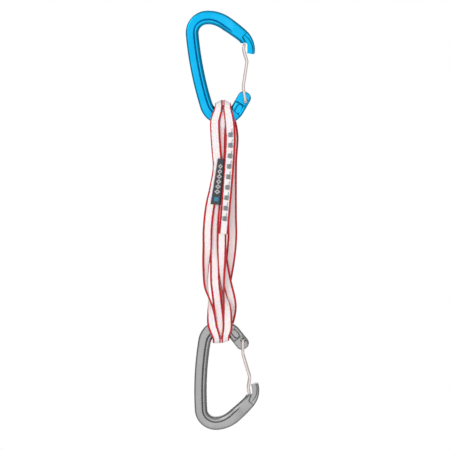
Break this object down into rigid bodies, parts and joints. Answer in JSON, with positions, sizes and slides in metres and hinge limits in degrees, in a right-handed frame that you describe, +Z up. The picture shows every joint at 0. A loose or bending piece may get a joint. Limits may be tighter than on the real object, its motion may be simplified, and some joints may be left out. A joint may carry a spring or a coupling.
{
  "type": "climbing quickdraw",
  "caption": "Alpine quickdraw: wire-gate carabiners at the two ends of a sewn sling, tripled between them, with spring-shut gates and ends that swing.",
  "frame": {"origin": "the inner apex of the upper carabiner's basket, where the quickdraw hangs on an anchor", "axes": "+Z up, along the quickdraw's length; +X from the carabiners' spines towards their gates; +Y through the thickness, away from the viewer"},
  "size_m": [0.0594, 0.0169, 0.34],
  "materials": {
    "blue_anodised": "satin bright blue anodising",
    "grey_anodised": "satin grey anodising",
    "gate_wire": "drawn stainless wire",
    "webbing": "woven white webbing with red edges",
    "tack_thread": "dense grey polyester thread",
    "label": "charcoal woven label"
  },
  "bodies": {
    "upper_carabiner": {"upper_carabiner_body": "blue_anodised"},
    "upper_gate": {"upper_wire_gate": "gate_wire"},
    "sling": {"sling_webbing": "webbing", "sling_label": "label", "bar_tack_1": "tack_thread", "bar_tack_2": "tack_thread", "bar_tack_3": "tack_thread", "bar_tack_4": "tack_thread", "bar_tack_5": "tack_thread", "bar_tack_6": "tack_thread", "bar_tack_7": "tack_thread", "bar_tack_8": "tack_thread", "bar_tack_9": "tack_thread"},
    "lower_carabiner": {"lower_carabiner_body": "grey_anodised"},
    "lower_gate": {"lower_wire_gate": "gate_wire"}
  },
  "joints": [
    {"name": "sling_swing", "type": "hinge", "parent": "upper_carabiner", "child": "sling", "pos_m": [0.01147, 0, -0.06023], "axis": [0, 1, 0], "range_deg": [-20, 20]},
    {"name": "lower_carabiner_swing", "type": "hinge", "parent": "sling", "child": "lower_carabiner", "pos_m": [0.01007, 0, -0.25683], "axis": [0, 1, 0], "range_deg": [-20, 20]},
    {"name": "upper_gate_hinge", "type": "hinge", "parent": "upper_carabiner", "child": "upper_gate", "pos_m": [0.02933, 0, -0.0605], "axis": [0, -1, 0], "range_deg": [0, 30], "stiffness_Nm_per_rad": 0.35, "springref_deg": -36.67},
    {"name": "lower_gate_hinge", "type": "hinge", "parent": "lower_carabiner", "child": "lower_gate", "pos_m": [0.02771, 0, -0.25402], "axis": [0, 1, 0], "range_deg": [0, 30], "stiffness_Nm_per_rad": 0.35, "springref_deg": -36.67}
  ]
}
